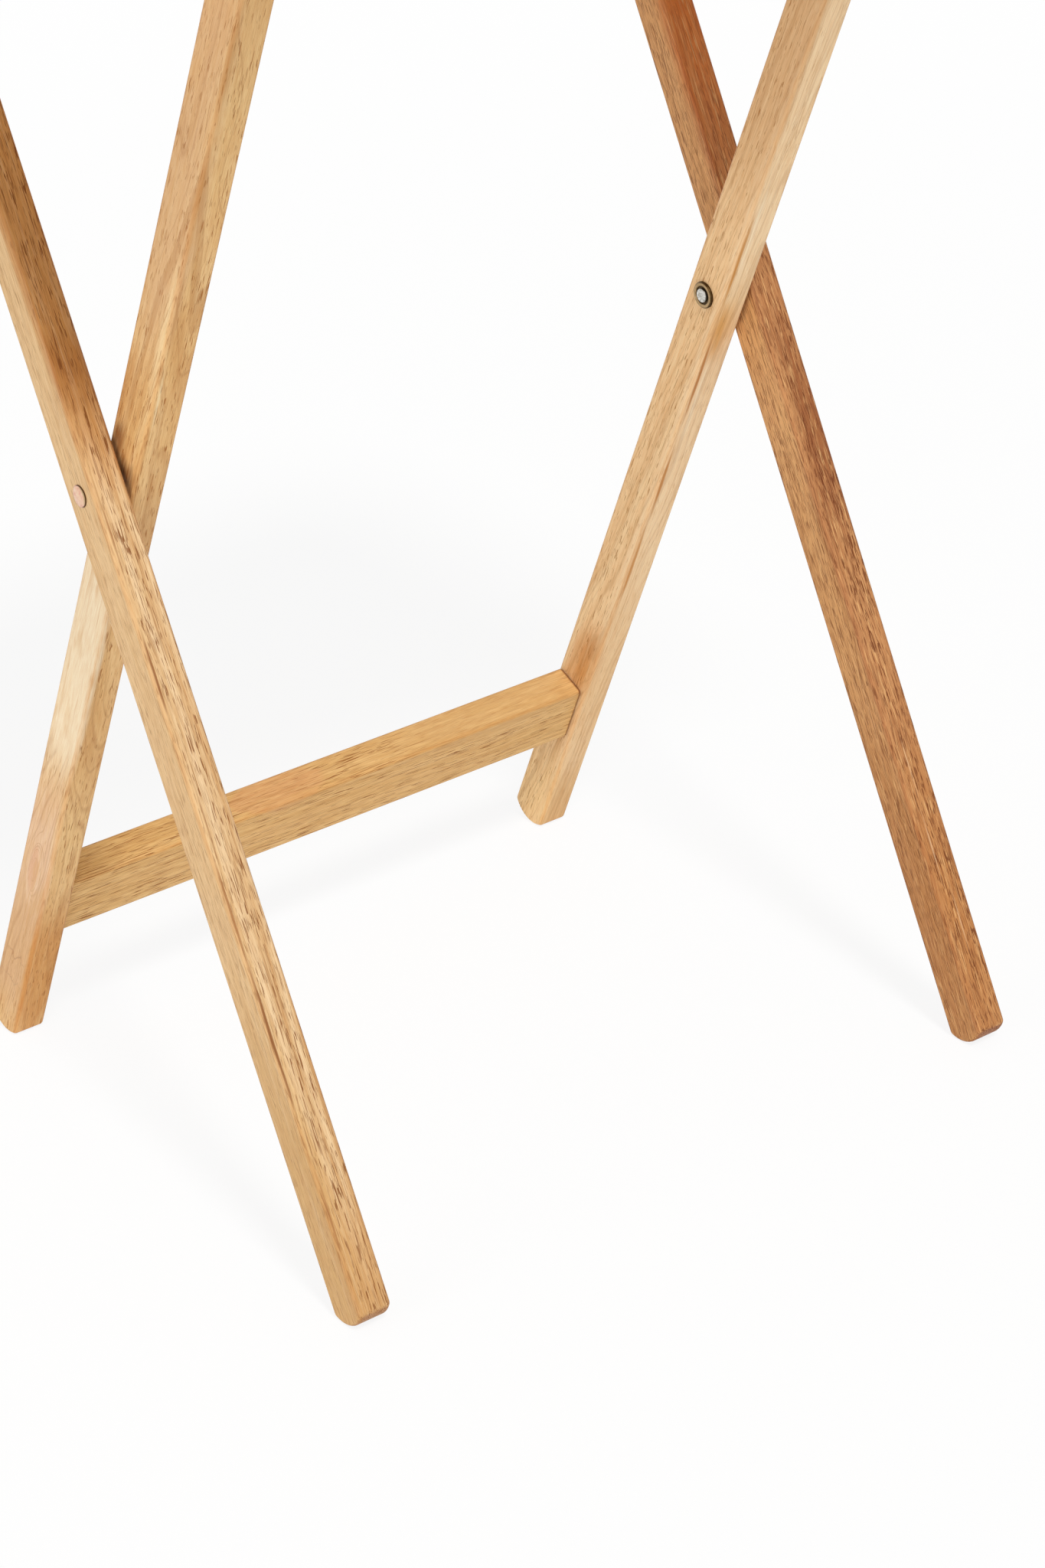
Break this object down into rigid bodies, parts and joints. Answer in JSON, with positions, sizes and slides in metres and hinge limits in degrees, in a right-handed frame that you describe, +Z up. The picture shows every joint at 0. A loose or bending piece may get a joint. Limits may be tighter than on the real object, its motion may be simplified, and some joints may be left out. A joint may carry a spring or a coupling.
{
  "type": "folding snack table",
  "caption": "Folding wooden snack table: a rounded tray over crossed leg frames that turn on rivets, hinged on a rod, locked by a bar and tied by a low stretcher.",
  "frame": {"origin": "on the floor, under the middle of the tray", "axes": "+Z up, X along the tray's length and the stretcher, -Y towards the front, where the feet of the outer legs stand"},
  "size_m": [0.483, 0.368, 0.66],
  "materials": {
    "tray_wood": "satin clear lacquer on edge-glued rubberwood",
    "leg_wood": "satin clear lacquer on honey-coloured rubberwood",
    "dark_leg_wood": "satin clear lacquer on a darker, reddish brown stave",
    "cleat_wood": "satin clear lacquer on rubberwood",
    "dowel_wood": "satin clear lacquer on turned hardwood dowel",
    "peg_wood": "bare fluted-dowel hardwood, hidden in the joint",
    "rivet_brass": "low gloss, slightly tarnished brass plating",
    "washer_bronze": "antique bronze plating",
    "spacer_steel": "plain zinc-plated steel",
    "screw_steel": "zinc-plated steel"
  },
  "bodies": {
    "outer_frame": {"outer_leg_left": "leg_wood", "outer_leg_right": "dark_leg_wood", "pivot_rivet_left": "rivet_brass", "pivot_rivet_right": "rivet_brass", "tail_washer_left": "washer_bronze", "tail_washer_right": "washer_bronze", "spacer_washer_left": "spacer_steel", "spacer_washer_right": "spacer_steel"},
    "inner_frame": {"inner_leg_left": "leg_wood", "inner_leg_right": "leg_wood", "lock_bar": "dowel_wood", "lower_stretcher": "leg_wood", "stretcher_pegs_left": "peg_wood", "stretcher_pegs_right": "peg_wood"},
    "hinge_rod": {"hinge_rod": "dowel_wood"},
    "tray": {"tray_top": "tray_wood", "cleat_left": "cleat_wood", "cleat_right": "cleat_wood", "cleat_screws_left": "screw_steel", "cleat_screws_right": "screw_steel"}
  },
  "joints": [
    {"name": "leg_fold", "type": "hinge", "parent": "outer_frame", "child": "inner_frame", "pos_m": [0, 0, 0.35006], "axis": [-1, 0, 0], "range_deg": [0, 51]},
    {"name": "rod_turn", "type": "hinge", "parent": "outer_frame", "child": "hinge_rod", "pos_m": [0, 0.134, 0.631], "axis": [-1, 0, 0], "range_deg": [0, 51]},
    {"name": "tray_lift", "type": "hinge", "parent": "hinge_rod", "child": "tray", "pos_m": [0, 0.134, 0.631], "axis": [-1, 0, 0], "range_deg": [0, 64.5]}
  ],
  "couplings": [
    {"joint": "rod_turn", "follows": "leg_fold", "ratio": 1}
  ]
}
